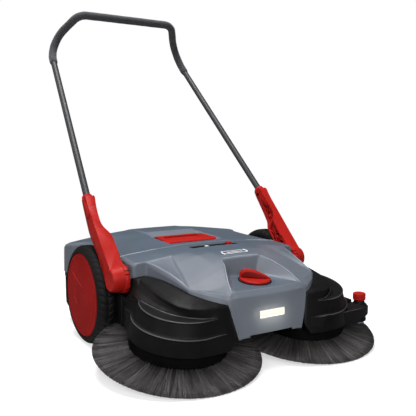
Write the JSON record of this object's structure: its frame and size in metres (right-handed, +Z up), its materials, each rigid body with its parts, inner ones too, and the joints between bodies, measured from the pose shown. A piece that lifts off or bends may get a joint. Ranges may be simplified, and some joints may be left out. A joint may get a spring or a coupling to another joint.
{
  "type": "walk behind sweeper",
  "caption": "Walk-behind floor sweeper with tilted disc brushes in front, a roller brush, a lift-out dust container, a lamp and a tubular push handle that folds forward.",
  "frame": {"origin": "on the floor, midway between the two large wheels and straight under their axle", "axes": "+X to the operator's left, across the machine; +Y to the rear, towards the operator; +Z up. The disc brushes and the lamp face -Y"},
  "size_m": [0.738, 0.9274, 0.9555],
  "materials": {
    "grey_shell": "fine-grained moulded slate grey plastic",
    "black_shell": "satin black moulded plastic",
    "black_plastic": "black moulded plastic",
    "red": "satin red moulded plastic",
    "steel": "zinc plated steel",
    "grey_tube": "powder coated dark grey tube",
    "foam": "dark grey foam grip",
    "tyre": "black ribbed tyre",
    "roller_rubber": "black rubber",
    "bristle": "dark grey nylon bristle",
    "belt": "black drive belt",
    "white_plastic": "white bearing plastic",
    "board": "green circuit board",
    "cable": "black insulated cable",
    "badge": "blank light grey label plate",
    "lamp": "lit translucent lamp lens"
  },
  "bodies": {
    "chassis": {"base_frame": "black_plastic", "front_hood": "grey_shell", "brush_guard_left": "black_shell", "brush_guard_right": "black_shell", "guide_bracket": "black_shell", "roller_sleeve": "steel", "lamp_bezel": "white_plastic", "lamp_lens": "lamp", "lamp_board": "board", "lamp_cable": "cable", "battery_pack": "black_plastic", "badge_plate": "badge", "deck_screws": "steel", "stub_axles": "steel", "pivot_bolts": "steel", "drive_bushes": "white_plastic", "slider_track": "black_plastic", "lever_pin": "steel", "drive_belts": "belt"},
    "wheel_left": {"tyre_left": "tyre", "wheel_rim_left": "black_plastic", "wheel_cap_left": "red", "wheel_bush_left": "white_plastic"},
    "wheel_right": {"tyre_right": "tyre", "wheel_rim_right": "black_plastic", "wheel_cap_right": "red", "wheel_bush_right": "white_plastic"},
    "drive_left": {"drive_pinion_left": "white_plastic", "drive_shaft_left": "steel"},
    "drive_right": {"drive_pinion_right": "white_plastic", "drive_shaft_right": "steel"},
    "disc_left": {"brush_disc_left": "black_plastic", "bristle_ring_left": "bristle", "brush_shaft_left": "steel"},
    "disc_right": {"brush_disc_right": "black_plastic", "bristle_ring_right": "bristle", "brush_shaft_right": "steel"},
    "cradle": {"roller_cradle": "black_plastic", "roller_belt": "belt"},
    "roller": {"roller_core": "black_plastic", "roller_bristles": "bristle"},
    "slider": {"height_slider": "red"},
    "container": {"dust_tub": "black_shell", "tub_lip": "roller_rubber", "container_cover": "grey_shell"},
    "carry_handle": {"container_handle": "red"},
    "handle": {"handle_tube": "grey_tube", "handle_grip": "foam", "handle_arm_left": "red", "handle_arm_right": "red", "arm_screws": "steel"},
    "dial": {"height_dial": "red", "dial_spindle": "white_plastic"},
    "lever": {"support_lever": "black_plastic", "support_axle": "steel"},
    "support": {"support_rollers": "roller_rubber"},
    "press_screw": {"press_knob": "red", "press_screw": "steel"},
    "press_shoe": {"press_shoe": "black_plastic"},
    "guide_roller": {"guide_roller": "black_plastic"}
  },
  "joints": [
    {"name": "wheel_left_spin", "type": "hinge", "parent": "chassis", "child": "wheel_left", "pos_m": [0.295, 0, 0.131], "axis": [1, 0, 0], "continuous": true},
    {"name": "wheel_right_spin", "type": "hinge", "parent": "chassis", "child": "wheel_right", "pos_m": [-0.295, 0, 0.131], "axis": [1, 0, 0], "continuous": true},
    {"name": "drive_left_spin", "type": "hinge", "parent": "chassis", "child": "drive_left", "pos_m": [0.24, -0.071, 0.11198], "axis": [1, 0, 0], "continuous": true},
    {"name": "drive_right_spin", "type": "hinge", "parent": "chassis", "child": "drive_right", "pos_m": [-0.24, -0.071, 0.11198], "axis": [1, 0, 0], "continuous": true},
    {"name": "disc_left_spin", "type": "hinge", "parent": "chassis", "child": "disc_left", "pos_m": [0.186, -0.288, 0.037], "axis": [0, -0.1838, 0.983], "continuous": true},
    {"name": "disc_right_spin", "type": "hinge", "parent": "chassis", "child": "disc_right", "pos_m": [-0.186, -0.288, 0.037], "axis": [0, -0.1838, 0.983], "continuous": true},
    {"name": "roller_lift", "type": "hinge", "parent": "chassis", "child": "cradle", "pos_m": [0, -0.071, 0.11198], "axis": [1, 0, 0], "range_deg": [-5, 0.6]},
    {"name": "roller_spin", "type": "hinge", "parent": "cradle", "child": "roller", "pos_m": [0, -0.04, 0.051], "axis": [1, 0, 0], "continuous": true},
    {"name": "height_slide", "type": "slide", "parent": "chassis", "child": "slider", "axis": [1, 0, 0], "range_m": [-0.11, 0.012]},
    {"name": "container_out", "type": "slide", "parent": "chassis", "child": "container", "axis": [0, 1, 0], "range_m": [0, 0.3]},
    {"name": "carry_handle_lift", "type": "hinge", "parent": "container", "child": "carry_handle", "pos_m": [0, -0.027, 0.2595], "axis": [1, 0, 0], "range_deg": [0, 75]},
    {"name": "handle_fold", "type": "hinge", "parent": "chassis", "child": "handle", "pos_m": [0, -0.152, 0.197], "axis": [1, 0, 0], "range_deg": [-2, 118]},
    {"name": "dial_turn", "type": "hinge", "parent": "chassis", "child": "dial", "pos_m": [0, -0.342, 0.1981], "axis": [0, -0.0995, 0.995], "range_deg": [-60, 60]},
    {"name": "support_lever_swing", "type": "hinge", "parent": "chassis", "child": "lever", "pos_m": [0, -0.24, 0.132], "axis": [1, 0, 0], "range_deg": [-3.1, 3.1]},
    {"name": "support_roller_spin", "type": "hinge", "parent": "lever", "child": "support", "pos_m": [0, -0.136, 0.027], "axis": [1, 0, 0], "continuous": true},
    {"name": "press_knob_turn", "type": "hinge", "parent": "chassis", "child": "press_screw", "pos_m": [0.357, -0.345, 0.1], "axis": [0, 0, 1], "range_deg": [0, 360]},
    {"name": "press_shoe_drop", "type": "slide", "parent": "chassis", "child": "press_shoe", "axis": [0, 0, 1], "range_m": [-0.0105, 0]},
    {"name": "guide_roller_spin", "type": "hinge", "parent": "chassis", "child": "guide_roller", "pos_m": [0.357, -0.345, 0.055], "axis": [0, 0, 1], "continuous": true}
  ],
  "couplings": [
    {"joint": "drive_left_spin", "follows": "wheel_left_spin", "ratio": 4.5},
    {"joint": "drive_right_spin", "follows": "wheel_right_spin", "ratio": 4.5},
    {"joint": "disc_left_spin", "follows": "wheel_left_spin", "ratio": -2},
    {"joint": "disc_right_spin", "follows": "wheel_right_spin", "ratio": 2},
    {"joint": "roller_spin", "follows": "wheel_left_spin", "ratio": 3.15},
    {"joint": "roller_lift", "follows": "height_slide", "rad_per_m": 0.75},
    {"joint": "support_lever_swing", "follows": "dial_turn", "ratio": 0.05},
    {"joint": "press_shoe_drop", "follows": "press_knob_turn", "m_per_rad": -0.0015915}
  ]
}
